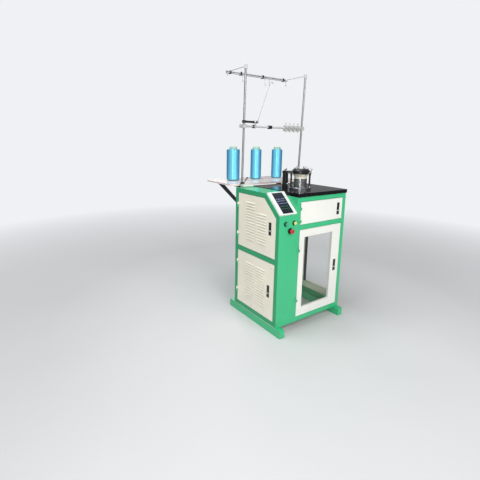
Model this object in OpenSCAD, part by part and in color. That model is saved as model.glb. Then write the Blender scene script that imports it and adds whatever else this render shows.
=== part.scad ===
// Circular knitting machine: cabinet with control column, knitting head, yarn stand and creel board.
// Sizes in millimetres. X runs to the right, Y to the back, Z up; the rails stand on Z = 0.

/* [Cabinet] */
// Width of the cabinet over its side panels
body_w = 680; // [640:10:760]
// Depth of the cabinet from its front face to its back panel
body_d = 528; // [500:4:600]
// Height of the underside of the worktop above the floor
body_top = 1014; // [990:2:1060]
// Thickness of the cabinet's sheet steel
sheet = 2; // [1.5:0.25:2.5]
// Depth of the folded edges round every door opening
fold = 20; // [16:1:24]

/* [Control column] */
// Width of the control column
column_w = 164; // [150:2:190]
// Height of the column's flat top above the underside of the worktop
column_rise = 22; // [10:1:26]
// Depth of the column's slope
slope_run = 154; // [140:2:180]
// Height of the column's slope
slope_drop = 143; // [130:1:170]

/* [Base rails] */
// Width of a base rail
rail_w = 46; // [36:2:60]
// Height of a base rail
rail_h = 60; // [40:2:80]
// Wall of a base rail
rail_wall = 3; // [2:0.5:5]
// Reach of the rails in front of the cabinet
rail_front = 48; // [20:2:80]
// Reach of the rails behind the cabinet
rail_rear = 70; // [20:2:120]

/* [Doors] */
// Gap round each door
door_gap = 2.5; // [2:0.25:3]
// Depth of a door over its folded edge
door_t = 18; // [16:1:20]
// How far a door stands proud of its frame
door_proud = 2; // [1:0.5:3]
// Height of the bottom edge of the lower doors above the floor
door_low = 101; // [90:1:120]
// Frame left above the upper doors
door_top_margin = 37; // [30:1:44]
// Height of the upper front door
upper_front_h = 162; // [140:2:180]
// Frame left between the two front doors
front_between = 41; // [34:1:60]
// Height of the lower side door
lower_side_h = 434; // [400:2:460]
// Frame left between the two side doors
side_between = 45; // [36:1:60]
// Frame left at the hinge side of the front doors
front_hinge_margin = 34; // [30:1:44]
// Frame left at the lock side of the front doors
front_lock_margin = 39; // [30:1:50]
// Frame left at the front edge of the side doors
side_front_margin = 36; // [32:1:44]
// Frame left at the rear edge of the side doors
side_rear_margin = 43; // [36:1:50]
// Depth of the cut corner of the upper side door
corner_cut = 136; // [110:2:150]
// Frame of a window door beside its hinges
window_hinge_side = 50; // [40:1:60]
// Frame of a window door beside its lock
window_lock_side = 92; // [86:1:100]
// Frame of a window door above its window
window_above = 57; // [50:1:80]
// Frame of a window door below its window
window_below = 64; // [50:1:90]
// Thickness of a window pane
pane_t = 3; // [2:0.5:4]

/* [Louvres] */
// Width of one louvre
louvre_w = 110; // [90:2:112]
// Pitch of the louvres
louvre_pitch = 21.7; // [20:0.1:22.5]
// Height of a louvre's hood
louvre_h = 9; // [7:0.5:11]
// Number of louvres in a full column
louvre_count = 14; // [8:1:14]
// Number of louvres under the cut corner
louvre_short_count = 11; // [6:1:11]

/* [Hinges and locks] */
// Radius of a hinge knuckle
knuckle_r = 5; // [4.5:0.1:6]
// Length of a hinge knuckle
knuckle_l = 20; // [16:1:26]
// Radius of a hinge pin
hinge_pin_r = 2.5; // [2:0.1:3]
// Running clearance on the radius of pins and shafts
run_clear = 0.05; // [0.03:0.01:0.08]
// Width of a lock's pocket
lock_w = 22; // [20:1:26]
// Height of a lock's lever
lever_h = 55; // [50:1:60]
// Height of a lock's push button
lock_button_h = 25; // [20:1:28]
// Distance of a front lock from the free edge of its door
front_lock_inset = 46; // [40:1:48]
// Distance of a side lock from the free edge of its door
side_lock_inset = 58; // [50:1:66]

/* [Worktop and head] */
// Thickness of the worktop
table_t = 26; // [20:1:32]
// Reach of the worktop past the front and the right side
table_over = 8; // [4:1:12]
// Distance of the head's axis from the cabinet's left side
head_x = 367; // [356:1:390]
// Distance of the head's axis from the front face
head_y = 191; // [186:1:200]
// Radius of the needle cylinder
needle_r = 44.5; // [42:0.5:46]
// Radius of the bore for the fabric
fabric_r = 38; // [36:0.5:38]
// Number of needles
needle_count = 72; // [36:4:84]
// Height of the polished sleeve above the worktop's flange
sleeve_h = 66; // [58:1:74]
// Radius of the flange ring
flange_r = 84; // [82:0.5:88]
// Thickness of the flange ring
flange_t = 16; // [12:0.5:18]
// Height of the bright sinker ring
sinker_h = 31; // [26:1:34]
// Height of the black feeder ring
feeder_ring_h = 32; // [24:1:36]
// Outer radius of the black feeder ring
feeder_ring_r = 66; // [62:1:68]

/* [Drive] */
// Module of the drive gears
gear_module = 2; // [2:0.5:2]
// Teeth of the gear on the needle cylinder
cylinder_teeth = 80; // [80:20:80]
// Teeth of the pinion
pinion_teeth = 20; // [20:1:20]
// Radius of the drive shaft
shaft_r = 8; // [7:0.5:9]
// Radius of the belt's path on the drive pulley
pulley_r = 60; // [54:1:62]
// Radius of the belt's path on the motor pulley
motor_pulley_r = 30; // [26:1:34]
// Radius of the motor's body
motor_r = 52; // [46:1:56]
// Radius of a take-down roller
roller_r = 20; // [18:0.5:22]
// Length of a take-down roller
roller_l = 104; // [96:2:110]

/* [Controls] */
// Width left beside the panel on the slope
bezel_margin = 3; // [2:0.5:5]
// Thickness of the panel's bezel
bezel_t = 12; // [9:0.5:14]
// Width of the screen
screen_w = 98; // [80:1:110]
// Height of the screen along the slope
screen_h = 184; // [150:1:188]
// Radius of the start and stop buttons' collars
collar_r = 17; // [15:0.5:17]
// Radius of the start and stop buttons
button_r = 12.2; // [11:0.1:13]
// Radius of the mushroom button
mushroom_r = 17; // [16:0.5:18]
// Radius of the mushroom button's collar
mushroom_collar_r = 21; // [20:0.5:23]
// Height of the start and stop buttons above the floor
button_z = 836; // [826:1:842]
// Height of the mushroom button above the floor
mushroom_z = 782; // [776:1:786]

/* [Yarn stand] */
// Radius of a pole
pole_r = 8; // [7:0.5:10]
// Height of the top of the poles above the floor
pole_top = 1950; // [1800:10:2100]
// Distance of the tops of the poles from the cabinet's left side and from its right side
pole_inset = [55, 6];
// Lean of the poles to the right, in degrees
pole_lean = [1.2, 2.1];
// Distance of the poles in front of the cabinet's back
pole_back = 27; // [22:1:38]
// Distance of the upper guide bar behind the poles
bar_back = 234; // [200:2:260]
// Width and height of the upper guide bar
bar_s = 18; // [14:1:22]
// Height of the cross bar above the floor
cross_z = 1508; // [1450:2:1560]
// Radius of the cross bar
cross_r = 8; // [6:0.5:9]
// Number of tension units on the cross bar
unit_count = 4; // [2:1:4]
// Pitch of the tension units
unit_pitch = 46; // [44:1:48]

/* [Creel] */
// Thickness of the creel board
board_t = 14; // [12:1:20]
// Depth of the creel board
board_d = 412; // [380:4:430]
// Reach of the creel board past the cabinet's left side
board_left = 50; // [30:2:80]
// Height of the top of the creel board above the floor
board_z = 1062; // [1060:1:1080]
// Radii of the three wound packages
package_r = [56, 48, 49];
// Height of a wound package
package_h = 264; // [220:2:300]
// Pitch of the packages
package_pitch = 246; // [200:2:250]
// Radius of a bobbin's core
core_r = 34; // [28:0.5:36]

/* [Hidden] */
column_top = body_top + column_rise;
slope_low = column_top - slope_drop;
slope_angle = atan2(slope_drop, slope_run);
slope_len = sqrt(slope_run * slope_run + slope_drop * slope_drop);
wall_x = column_w - sheet;
table_z = body_top + table_t;
deck_z = body_top - door_top_margin - upper_front_h - front_between / 2;

front_x = column_w + front_hinge_margin;
front_w = body_w - front_lock_margin - front_x;
upper_front_z = body_top - door_top_margin - upper_front_h;
lower_front_h = upper_front_z - front_between - door_low;
side_y = body_d - side_rear_margin;
side_w = side_y - side_front_margin;
upper_side_z = door_low + lower_side_h + side_between;
upper_side_h = column_top - door_top_margin - upper_side_z;
corner_rise = corner_cut * slope_drop / slope_run;

knuckle_gap = 0.3;
hinge_out = door_proud + knuckle_r + 0.5;
leaf_w = 19;
leaf_t = 2;
lock_wall = 1.5;
lock_rib = 6;
lock_clear = 0.5;
lock_h = lever_h + lock_button_h + lock_rib + 4 * lock_clear;
lock_depth = 13;
lever_t = 7;
trunnion_r = 2;
trunnion_in = 3.5;
lever_out = 1;
lever_nose = trunnion_in + lever_out;

head = [head_x, head_y];
sleeve_z = table_z + flange_t;
sleeve_top = sleeve_z + sleeve_h;
sleeve_in = needle_r + 1.5;
sleeve_out = sleeve_in + 4;
cylinder_top = sleeve_top + sinker_h / 2;
sinker_top = sleeve_top + sinker_h;
feeder_z = sinker_top + 5;
feeder_top = feeder_z + feeder_ring_h;
journal_r = needle_r + 1.5;
spigot_r = journal_r + 8;
spigot_gap = 0.5;
gear_h = 18;
spigot_low = body_top - 8;
gear_z = spigot_low - 2 - gear_h;
trick_w = 1.2;
trick_floor = needle_r - 3.1;
needle_t = 0.8;
post_s = 34;
post_at = head + [-94, 68];
post_stud_z = table_z + 38;
pillar_r = 7;
pillar_out = flange_r - 13;
pillar_angles = [-35, 55, 145];
flange_screw_angles = [10:90:280];

gear_distance = gear_module * (cylinder_teeth + pinion_teeth) / 2;
gear_angle = 53.13;
shaft_at = head + gear_distance * [cos(gear_angle), sin(gear_angle)];
motor_at = shaft_at + [125, 125];
pulley_z = gear_z - 46;
pulley_h = 22;
belt_w = 16;
belt_t = 3;
belt_gap = 0.3;
motor_h = 110;
roller_z = deck_z + 62;
roller_gap = 0.4;
roller_pin_r = 6;
side_plate_t = 6;

pole_x = [pole_inset[0], body_w - pole_inset[1]];
pole_y = body_d - pole_back;
pole_base = [column_top, table_z];
cap_r = 12;
cap_h = 34;
bar_y = pole_y + bar_back;
bar_z = pole_top - 18;
cross_y = pole_y + pole_r + cross_r + 2;
bracket_z = cross_z + 33;
pivot_x = pole_x[0] + 107;
pivot_y = pole_y - 14;
wire_r = 1.8;
wire_lean = 21;
wire_l = 300;
unit_x = pole_at(1, cross_z) - 35 - (unit_count - 1) * unit_pitch;
stay_x = [50, body_w - 10];
board_y = pole_y + pole_r + 9;
board_right = body_w + 10;
board_corner = 40;
bracket_t = 8;
bracket_w = 24;
package_x = 130;
package_y = 770;
wind_clear = 0.1;

slit = 0.01;
machine_left = -board_left;
machine_right = body_w + hinge_out + knuckle_r;
machine_mid = [(machine_left + machine_right) / 2, (board_y + board_d - rail_front) / 2];

steel_green = [0.16, 0.62, 0.42];
ivory = [0.90, 0.88, 0.80];

// Places and plates

module in_frame() { translate([-machine_mid[0], -machine_mid[1], 0]) children(); }

module block(a, b) { translate(a) cube(b - a); }

module plate_xz(y, t) { translate([0, y + t, 0]) rotate([90, 0, 0]) linear_extrude(t) children(); }

module plate_yz(x, t) { translate([x, 0, 0]) rotate([90, 0, 90]) linear_extrude(t) children(); }

module plate_xy(z, t) { translate([0, 0, z]) linear_extrude(t) children(); }

module at_head(z = 0) { translate([head_x, head_y, z]) children(); }

// A door's own frame: X along its width from the hinges, Y into the cabinet, Z up from its bottom edge
module on_front(z) { translate([front_x, 0, z]) children(); }

module on_left(z) { translate([0, side_y, z]) rotate([0, 0, -90]) children(); }

module on_right(z) { translate([body_w, side_front_margin, z]) rotate([0, 0, 90]) children(); }

module on_slope() { translate([0, 0, slope_low]) rotate([slope_angle, 0, 0]) children(); }

// Place of a pole's axis across the cabinet at height z
function pole_at(i, z) = pole_x[i] - (pole_top - z) * tan(pole_lean[i]);

// A pole's own frame at height z, with Z along its axis
module on_pole(i, z) {
    translate([pole_at(i, z), pole_y, z]) rotate([0, pole_lean[i], 0]) children();
}

module rounded(w, d, r) {
    translate([r, 0]) square([w - 2 * r, d]);
    translate([0, r]) square([w, d - 2 * r]);
    for (x = [r, w - r], y = [r, d - r]) translate([x, y]) circle(r, $fn = 48);
}

function rect(x0, z0, x1, z1, i = 0) = [[x0 + i, z0 + i], [x1 - i, z0 + i], [x1 - i, z1 - i],
    [x0 + i, z1 - i]];

// Outline of the column's side, moved inwards by i
function side_outline(i) =
    let (k = sqrt(1 + pow(slope_drop / slope_run, 2)))
    [[i, rail_h + i], [body_d - i, rail_h + i], [body_d - i, column_top - i],
     [(slope_drop - i + i * k) * slope_run / slope_drop, column_top - i],
     [i, slope_low + i * slope_drop / slope_run - i * k]];

// Outline of a door, moved inwards by i, with its upper free corner cut off when run is not zero
function door_outline(w, h, run, i) =
    run == 0 ? rect(0, 0, w, h, i) :
    let (rise = run * slope_drop / slope_run, k = sqrt(1 + pow(rise / run, 2)))
    [[i, i], [w - i, i], [w - i, h - rise + i * rise / run - i * k],
     [w - (rise - i + i * k) * run / rise, h - i], [i, h - i]];

// Base

module base_rails() {
    color(steel_green)
        for (x = [0, body_w - rail_w])
            translate([x, -rail_front, 0]) difference() {
                cube([rail_w, rail_front + body_d + rail_rear, rail_h]);
                translate([rail_wall, rail_wall, rail_wall])
                    cube([rail_w - 2 * rail_wall, rail_front + body_d + rail_rear,
                        rail_h - 2 * rail_wall]);
            }
}

module floor_pan() {
    difference() {
        plate_xy(rail_h, sheet) translate([0, sheet]) square([column_w, body_d - 2 * sheet]);
        for (x = [60:16:124]) plate_xy(rail_h - 1, sheet + 2) translate([x, 120]) square([8, 260]);
    }
}

module deck_plate() {
    difference() {
        plate_xy(deck_z, sheet) translate([column_w, fold])
            square([body_w - fold - column_w, body_d - sheet - fold]);
        translate([head_x - 45, head_y - 28, deck_z - 1]) cube([90, 56, sheet + 2]);
    }
}

module inner_plates() {
    color(ivory) {
        floor_pan();
        deck_plate();
    }
}

// Frames and panels of the cabinet

module opening_edge(outline_out, outline_in) {
    difference() {
        polygon(outline_out);
        polygon(outline_in);
    }
}

module front_frame() {
    holes = [[front_w, lower_front_h, door_low], [front_w, upper_front_h, upper_front_z]];
    color(steel_green) difference() {
        union() {
            plate_xz(0, sheet)
                polygon([[0, rail_h], [body_w, rail_h], [body_w, body_top], [wall_x, body_top],
                         [wall_x, slope_low - sheet / 2], [0, slope_low - sheet / 2]]);
            for (h = holes) translate([front_x, 0, h[2]]) plate_xz(0, fold)
                polygon(door_outline(h[0], h[1], 0, -door_gap - sheet));
            block([column_w, sheet, body_top - sheet], [body_w - sheet, fold, body_top]);
        }
        for (h = holes) translate([front_x, 0, h[2]]) plate_xz(-1, fold + 2)
            polygon(door_outline(h[0], h[1], 0, -door_gap));
        for (b = button_list) translate([b[0], -1, b[1]]) rotate([-90, 0, 0])
            cylinder(r = barrel_r + 0.2, h = sheet + 2, $fn = 48);
    }
}

module side_hole(z, h, run, i, x, t) {
    plate_yz(x, t) translate([side_y, z]) mirror([1, 0]) polygon(door_outline(side_w, h, run, i));
}

module left_frame() {
    holes = [[door_low, lower_side_h, 0], [upper_side_z, upper_side_h, corner_cut]];
    color(steel_green) difference() {
        union() {
            plate_yz(0, sheet) polygon(side_outline(sheet));
            plate_yz(0, fold) opening_edge(side_outline(sheet), side_outline(2 * sheet));
            for (h = holes) side_hole(h[0], h[1], h[2], -door_gap - sheet, 0, fold);
        }
        for (h = holes) side_hole(h[0], h[1], h[2], -door_gap, -1, fold + 2);
    }
}

module right_frame() {
    z0 = rail_h + sheet;
    color(steel_green) difference() {
        union() {
            plate_yz(body_w - sheet, sheet) polygon(rect(sheet, z0, body_d - sheet, body_top));
            plate_yz(body_w - fold, fold) difference() {
                polygon(rect(sheet, z0, body_d - sheet, body_top - sheet));
                polygon(rect(sheet, z0, body_d - sheet, body_top - sheet, sheet));
            }
            side_hole(door_low, lower_front_h, 0, -door_gap - sheet, body_w - fold, fold);
        }
        side_hole(door_low, lower_front_h, 0, -door_gap, body_w - fold - 1, fold + 2);
    }
}

module back_panel() {
    y = body_d - sheet;
    w = 2 * louvre_w;
    color(steel_green) {
        difference() {
            union() {
                plate_xz(y, sheet)
                    polygon([[0, rail_h], [body_w, rail_h], [body_w, body_top], [wall_x, body_top],
                             [wall_x, column_top - sheet], [0, column_top - sheet]]);
                for (z = back_vents) translate([head_x + w / 2, body_d, z]) rotate(180) louvre_hood(w);
            }
            for (z = back_vents) translate([head_x - w / 2 + sheet, y - 1, z])
                cube([w - 2 * sheet, sheet + 1 + slit, louvre_h - 3]);
            translate([70, y - 1, 150]) rotate([-90, 0, 0]) cylinder(r = 12, h = sheet + 2, $fn = 48);
        }
        translate([70, y, 150]) rotate([-90, 0, 0]) rotate_extrude($fn = 48)
            polygon([[8, -14], [12, -14], [12, 3], [15, 3], [15, 9], [11, 20], [8, 20]]);
    }
}

back_vents = [for (i = [0:5]) deck_z + 50 + i * louvre_pitch];

module column_cover() {
    inner = side_outline(sheet);
    middle = side_outline(sheet / 2);
    outer = side_outline(0);
    color(steel_green) {
        plate_yz(0, wall_x)
            polygon([outer[4], outer[3], outer[2], inner[2] + [sheet, 0], inner[3], inner[4]]);
        plate_yz(wall_x, sheet) difference() {
            polygon([[sheet, rail_h + sheet], [body_d - sheet, rail_h + sheet],
                [body_d - sheet, middle[2][1]],
                     middle[3], middle[3] - (middle[3][1] - body_top) * [slope_run / slope_drop, 1],
                     [sheet, body_top]]);
            translate([body_d - 90, deck_z + 60]) circle(25, $fn = 48);
        }
    }
}

// Worktop

module table_top() {
    color([0.07, 0.075, 0.08]) difference() {
        plate_xy(body_top, table_t) translate([column_w + 0.3, -table_over])
            rounded(body_w + table_over - column_w - 0.3, body_d + table_over, 10);
        at_head(body_top - 1) cylinder(r = spigot_r + spigot_gap, h = table_t + 2, $fn = 96);
    }
}

// Control panel and buttons

barrel_r = 11;
button_list = [[59, button_z], [column_w - 26, button_z], [column_w / 2 + 20, mushroom_z]];

module hmi_bezel() {
    w = wall_x - 2 * bezel_margin + sheet;
    color([0.93, 0.94, 0.93]) on_slope() difference() {
        translate([bezel_margin, bezel_margin, 0]) union() {
            linear_extrude(bezel_t - 2) rounded(w, slope_len - 2 * bezel_margin, 6);
            translate([1.5, 1.5, 0]) linear_extrude(bezel_t)
                rounded(w - 3, slope_len - 2 * bezel_margin - 3, 6);
        }
        translate([(column_w - screen_w) / 2 + 2, (slope_len - screen_h) / 2, bezel_t - 4.5])
            cube([screen_w, screen_h, 6]);
    }
}

module hmi_screen() {
    c = 0.3;
    color([0.2, 0.22, 0.29]) on_slope()
        translate([(column_w - screen_w) / 2 + 2 + c, (slope_len - screen_h) / 2 + c, bezel_t - 4.5])
            cube([screen_w - 2 * c, screen_h - 2 * c, 3.3]);
}

// A collar with its threaded barrel, nut and contact block; the opening takes a stem of radius bore
module button_seat(r, bore) {
    rotate([90, 0, 0]) difference() {
        union() {
            rotate_extrude($fn = 64)
                polygon([[0, 0], [r, 0], [r, 3], [r - 2.5, 7], [0, 7]]);
            translate([0, 0, -14]) cylinder(r = barrel_r, h = 15, $fn = 64);
            translate([0, 0, -sheet - 4]) cylinder(r = barrel_r + 4, h = 4, $fn = 6);
            translate([-14, -17, -48]) cube([28, 34, 36]);
        }
        translate([0, 0, -10]) cylinder(r = bore, h = 20, $fn = 64);
    }
}

module button_collars() {
    color([0.75, 0.76, 0.78]) {
        for (b = [button_list[0], button_list[1]]) translate([b[0], 0, b[1]])
            button_seat(collar_r, button_stem_r + run_clear);
        translate([button_list[2][0], 0, button_list[2][1]])
            button_seat(mushroom_collar_r, button_stem_r + run_clear);
    }
}

button_stem_r = 9;
button_travel = 4;

module push_cap(at, tint) {
    color(tint) translate([at[0], 0, at[1]]) rotate([90, 0, 0]) {
        translate([0, 0, -5]) cylinder(r = button_stem_r, h = 18, $fn = 64);
        rotate_extrude($fn = 64)
            polygon([[0, 12], [button_r, 12], [button_r, 15], [button_r - 1.5, 17], [0, 17.6]]);
    }
}

module start_button() { push_cap(button_list[0], [0.10, 0.62, 0.30]); }

module stop_button() { push_cap(button_list[1], [0.93, 0.75, 0.12]); }

module estop_button() {
    b = button_list[2];
    color([0.85, 0.10, 0.08]) translate([b[0], 0, b[1]]) rotate([90, 0, 0]) {
        translate([0, 0, -4]) cylinder(r = button_stem_r, h = 20, $fn = 64);
        rotate_extrude($fn = 96)
            polygon(concat([[0, 14], [mushroom_r - 6, 14], [mushroom_r, 20], [mushroom_r, 25]],
            [for (a = [20:14:90]) [mushroom_r - 6 + 6 * cos(a), 26 + 6 * sin(a)]], [[0, 32.6]]));
    }
}

module control_gear() {
    x = wall_x - 12;
    color([0.82, 0.83, 0.82]) {
        block([x, 60, 130], [x + 3, 470, 820]);
        for (y = [90, 440], z = [160, 790]) translate([x + 3 - slit, y, z]) rotate([0, 90, 0])
            cylinder(r = 6, h = 9 + slit, $fn = 24);
        difference() {
            block([x - 95, 110, 560], [x, 230, 760]);
            for (y = [118:10:218]) block([x - 96, y, 555], [x - 75, y + 5, 765]);
        }
        block([x - 70, 270, 600], [x, 400, 740]);
        for (i = [0:5]) block([x - 62, 120 + i * 26, 420], [x, 142 + i * 26, 500]);
        block([x - 8, 100, 360], [x, 440, 395]);
        for (i = [0:11]) block([x - 48, 110 + i * 13, 355], [x - 8 + slit, 121 + i * 13, 400]);
        block([x - 12, 90, 260], [x, 450, 300]);
    }
}

// Doors

function hinge_zs(h) = [min(142, 0.22 * h), h - min(142, 0.22 * h)];

module louvre_hood(w) {
    difference() {
        intersection() {
            translate([0, 4, 0]) rotate([0, 90, 0]) cylinder(r = louvre_h, h = w, $fn = 48);
            translate([0, -louvre_h, 0]) cube([w, louvre_h + slit, louvre_h]);
        }
        translate([sheet, 4, -slit]) rotate([0, 90, 0])
            cylinder(r = louvre_h - 1.5, h = w - 2 * sheet, $fn = 48);
    }
}

module door_knuckles(h) {
    for (z = hinge_zs(h)) translate([-door_gap / 2, -hinge_out, z]) difference() {
        union() {
            cylinder(r = knuckle_r, h = knuckle_l, $fn = 48);
            translate([0, hinge_out - door_proud - leaf_t, 0]) cube([leaf_w, leaf_t + slit, knuckle_l]);
        }
        translate([0, 0, -1]) cylinder(r = hinge_pin_r + run_clear, h = knuckle_l + 2, $fn = 48);
    }
}

module frame_knuckles(h) {
    for (z = hinge_zs(h)) translate([-door_gap / 2, -hinge_out, z - knuckle_gap]) {
        translate([0, 0, -knuckle_l]) cylinder(r = knuckle_r, h = knuckle_l, $fn = 48);
        translate([-leaf_w, knuckle_r - 1, -knuckle_l])
            cube([leaf_w, hinge_out - knuckle_r + 1, knuckle_l]);
        translate([0, 0, -slit])
            cylinder(r = hinge_pin_r, h = knuckle_l + knuckle_gap + slit, $fn = 48);
    }
}

// A folded door; columns holds the left edge, bottom edge and number of each column of louvres
module door_tray(w, h, lock_x, run = 0, columns = []) {
    window = len(columns) == 0 && h > 300;
    deep = door_t - door_proud;
    face = -door_proud;
    wx = [window_hinge_side, w - window_lock_side];
    wz = [window_below, h - window_above];
    lz = h / 2 - lock_h / 2;
    difference() {
        union() {
            plate_xz(face, sheet) polygon(door_outline(w, h, run, 0));
            plate_xz(face, door_t)
                opening_edge(door_outline(w, h, run, 0), door_outline(w, h, run, sheet));
            if (window) plate_xz(face, door_t) polygon(rect(wx[0], wz[0], wx[1], wz[1], -sheet));
            block([lock_x - lock_w / 2 - lock_wall, face, lz - lock_wall],
                  [lock_x + lock_w / 2 + lock_wall, face + lock_depth + lock_wall,
                      lz + lock_h + lock_wall]);
            for (c = columns) for (i = [0:c[2] - 1])
                translate([c[0], face, c[1] + i * louvre_pitch]) louvre_hood(louvre_w);
            door_knuckles(h);
        }
        if (window) plate_xz(face - 1, door_t + 2) polygon(rect(wx[0], wz[0], wx[1], wz[1]));
        for (c = columns) for (i = [0:c[2] - 1])
            translate([c[0] + sheet, face - slit, c[1] + i * louvre_pitch])
                cube([louvre_w - 2 * sheet, sheet + 2 * slit, louvre_h - 3]);
        block([lock_x - lock_w / 2, face - 1, lz],
              [lock_x + lock_w / 2, face + lock_depth, lz + lock_button_h + 2 * lock_clear]);
        block([lock_x - lock_w / 2, face - 1, lz + lock_button_h + 2 * lock_clear + lock_rib],
              [lock_x + lock_w / 2, face + lock_depth, lz + lock_h]);
        translate([lock_x - lock_w / 2 - lock_wall - 1, face + trunnion_in, lever_axis_z(h)])
            rotate([0, 90, 0]) cylinder(r = trunnion_r + run_clear, h = lock_w + 2 * lock_wall + 2,
                $fn = 32);
    }
}

function lever_axis_z(h) = h / 2 + lock_h / 2 - lock_clear - lever_nose;

module lock_lever(h, lock_x) {
    half = lock_w / 2 - lock_clear;
    top = lever_axis_z(h);
    z0 = h / 2 + lock_h / 2 - lock_clear - lever_h;
    color([0.05, 0.05, 0.055]) {
        difference() {
            union() {
                block([lock_x - half, -door_proud - lever_out, z0],
                    [lock_x + half, -door_proud - lever_out + lever_t, top]);
                translate([lock_x - half, -door_proud + trunnion_in, top]) rotate([0, 90, 0])
                    cylinder(r = lever_nose, h = 2 * half, $fn = 48);
            }
            translate([lock_x, -door_proud - lever_out - 36, z0 + lever_h * 0.42])
                sphere(r = 37, $fn = 64);
        }
        translate([lock_x - lock_w / 2 - lock_wall + 0.2, -door_proud + trunnion_in, top])
            rotate([0, 90, 0])
            cylinder(r = trunnion_r, h = lock_w + 2 * lock_wall - 0.4, $fn = 32);
    }
}

module lock_push(h, lock_x) {
    half = lock_w / 2 - lock_clear;
    z0 = h / 2 - lock_h / 2 + lock_clear;
    color([0.05, 0.05, 0.055]) difference() {
        block([lock_x - half, -door_proud - lever_out, z0],
              [lock_x + half, -door_proud - lever_out + lever_t, z0 + lock_button_h]);
        for (z = [6, 12, 18]) translate([lock_x - half - 1, -door_proud - lever_out, z0 + z])
            rotate([0, 90, 0])
            cylinder(r = 1, h = lock_w, $fn = 16);
    }
}

front_lock_x = front_w - front_lock_inset;
side_lock_x = side_w - side_lock_inset;
right_lock_x = side_w - front_lock_inset;
louvre_z = 76;
louvre_x = [103, 237];

module door_left_upper() {
    color(ivory) on_left(upper_side_z) door_tray(side_w, upper_side_h, side_lock_x, corner_cut,
        [[louvre_x[0], louvre_z, louvre_count], [louvre_x[1], louvre_z, louvre_short_count]]);
}

module door_left_lower() {
    color(ivory) on_left(door_low) door_tray(side_w, lower_side_h, side_lock_x, 0,
        [for (x = louvre_x) [x, louvre_z, louvre_count]]);
}

module door_front_upper() {
    color([0.95, 0.95, 0.93]) on_front(upper_front_z) door_tray(front_w, upper_front_h, front_lock_x);
}

module door_front_lower() {
    color([0.95, 0.95, 0.93]) on_front(door_low) door_tray(front_w, lower_front_h, front_lock_x);
}

module door_right() {
    color(ivory) on_right(door_low) door_tray(side_w, lower_front_h, right_lock_x);
}

module pane(w, h) {
    over = 12;
    y0 = door_t - door_proud + 0.2;
    color([0.8, 0.9, 0.9, 0.35]) plate_xz(y0, pane_t)
        polygon(rect(window_hinge_side - over, window_below - over,
                     w - window_lock_side + over, h - window_above + over));
}

module pane_front() { on_front(door_low) pane(front_w, lower_front_h); }

module pane_right() { on_right(door_low) pane(side_w, lower_front_h); }

module hinge_pins() {
    color([0.7, 0.71, 0.72]) {
        on_left(upper_side_z) frame_knuckles(upper_side_h);
        on_left(door_low) frame_knuckles(lower_side_h);
        on_front(upper_front_z) frame_knuckles(upper_front_h);
        on_front(door_low) frame_knuckles(lower_front_h);
        on_right(door_low) frame_knuckles(lower_front_h);
    }
}

module lever_left_upper() { on_left(upper_side_z) lock_lever(upper_side_h, side_lock_x); }
module lever_left_lower() { on_left(door_low) lock_lever(lower_side_h, side_lock_x); }
module lever_front_upper() { on_front(upper_front_z) lock_lever(upper_front_h, front_lock_x); }
module lever_front_lower() { on_front(door_low) lock_lever(lower_front_h, front_lock_x); }
module lever_right() { on_right(door_low) lock_lever(lower_front_h, right_lock_x); }
module push_left_upper() { on_left(upper_side_z) lock_push(upper_side_h, side_lock_x); }
module push_left_lower() { on_left(door_low) lock_push(lower_side_h, side_lock_x); }
module push_front_upper() { on_front(upper_front_z) lock_push(upper_front_h, front_lock_x); }
module push_front_lower() { on_front(door_low) lock_push(lower_front_h, front_lock_x); }
module push_right() { on_right(door_low) lock_push(lower_front_h, right_lock_x); }

// Knitting head

module head_flange() {
    color([0.78, 0.79, 0.80]) difference() {
        at_head() rotate_extrude($fn = 128)
            polygon([[journal_r + run_clear, spigot_low], [spigot_r, spigot_low], [spigot_r, table_z],
                     [flange_r, table_z], [flange_r, sleeve_z - 2.5], [flange_r - 2.5, sleeve_z],
                     [journal_r + run_clear, sleeve_z]]);
        for (a = flange_screw_angles) at_head(sleeve_z - 4) rotate([0, 0, a])
            translate([flange_r - 8, 0, 0])
            cylinder(r = 4.2, h = 5, $fn = 32);
    }
}

module cam_sleeve() {
    z = sleeve_z;
    color([0.35, 0.36, 0.38]) at_head() rotate_extrude($fn = 128)
        polygon([[sleeve_in, z], [sleeve_out, z], [sleeve_out, z + sleeve_h * 0.7],
            [sleeve_out - 1, z + sleeve_h * 0.7 + 1],
                 [sleeve_out - 1, z + sleeve_h * 0.7 + 3], [sleeve_out, z + sleeve_h * 0.7 + 4],
                 [sleeve_out, sleeve_top - 1.5], [sleeve_out - 1.5, sleeve_top],
                     [sleeve_in, sleeve_top]]);
}

module sinker_ring() {
    z = sleeve_top;
    inner = sleeve_in + 0.2;
    wall = 3;
    flare = 12;
    lip = 2;
    color([0.86, 0.83, 0.76]) at_head() rotate_extrude($fn = 128)
        polygon(concat([[inner, z], [inner + wall, z], [inner + wall, z + 3]],
            [for (a = [0:15:75]) [inner + wall + flare * (1 - cos(a)), z + 4 + (sinker_h - 8) * sin(a)]],
            [for (a = [-60:30:180]) [inner + flare + lip * cos(a), sinker_top - lip + lip * sin(a)]],
            [for (a = [60:-15:0]) [inner + flare * (1 - cos(a)), z + 5 + (sinker_h - 8) * sin(a)]]));
}

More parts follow.
